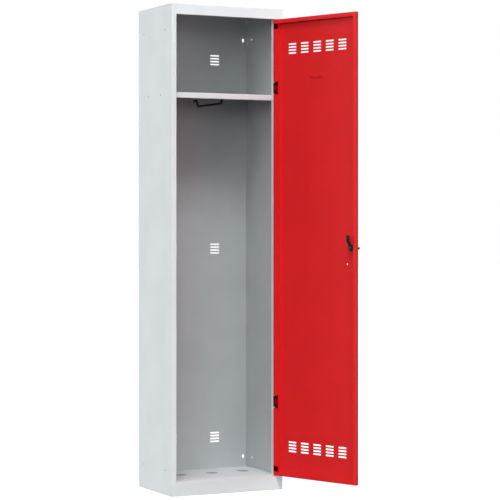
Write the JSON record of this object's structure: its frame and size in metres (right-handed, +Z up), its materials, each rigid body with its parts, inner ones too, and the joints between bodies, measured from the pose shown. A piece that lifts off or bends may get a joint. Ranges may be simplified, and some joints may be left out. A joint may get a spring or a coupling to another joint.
{
  "type": "metal clothes locker",
  "caption": "Tall folded-sheet clothes locker with hat shelf, hanging rail, vented hinged door and a turn-knob padlock lock; stands on its plinth to store clothes.",
  "frame": {"origin": "on the floor, under the middle of the plinth's front flange", "axes": "+Z up, -Y out of the front, +X to the hinge side"},
  "size_m": [0.5915, 0.6844, 1.8],
  "materials": {
    "grey_coat": "light grey powder coat, fine orange peel, satin",
    "red_coat": "red powder coat, fine orange peel, satin",
    "black_steel": "black oxide steel, semi-matt",
    "black_enamel": "black enamelled die casting, satin",
    "zinc_plate": "dark zinc plate, dull"
  },
  "bodies": {
    "cabinet": {"left_side_panel": "grey_coat", "right_side_panel": "grey_coat", "back_panel": "grey_coat", "top_panel": "grey_coat", "floor_panel": "grey_coat", "hinge_strip": "grey_coat", "hat_shelf": "grey_coat", "hanging_rail": "black_steel", "rail_retainer": "black_steel", "upper_hinge_frame_leaf": "black_steel", "lower_hinge_frame_leaf": "black_steel", "upper_hinge_pin": "black_steel", "lower_hinge_pin": "black_steel"},
    "door": {"door_pan": "red_coat", "upper_hinge_door_leaf": "red_coat", "lower_hinge_door_leaf": "red_coat", "lock_housing": "black_enamel", "lock_nut": "zinc_plate"},
    "latch": {"hasp_knob": "black_enamel", "lock_cam": "black_steel", "cam_washer": "zinc_plate", "cam_screw": "zinc_plate"}
  },
  "joints": [
    {"name": "door_swing", "type": "hinge", "parent": "cabinet", "child": "door", "pos_m": [0.2005, -0.0045, 0.9], "axis": [0, 0, 1], "range_deg": [-109.6, 2]},
    {"name": "lock_turn", "type": "hinge", "parent": "door", "child": "latch", "pos_m": [0.33137, -0.35862, 0.90725], "axis": [0.9421, 0.3355, 0], "range_deg": [0, 90]}
  ]
}
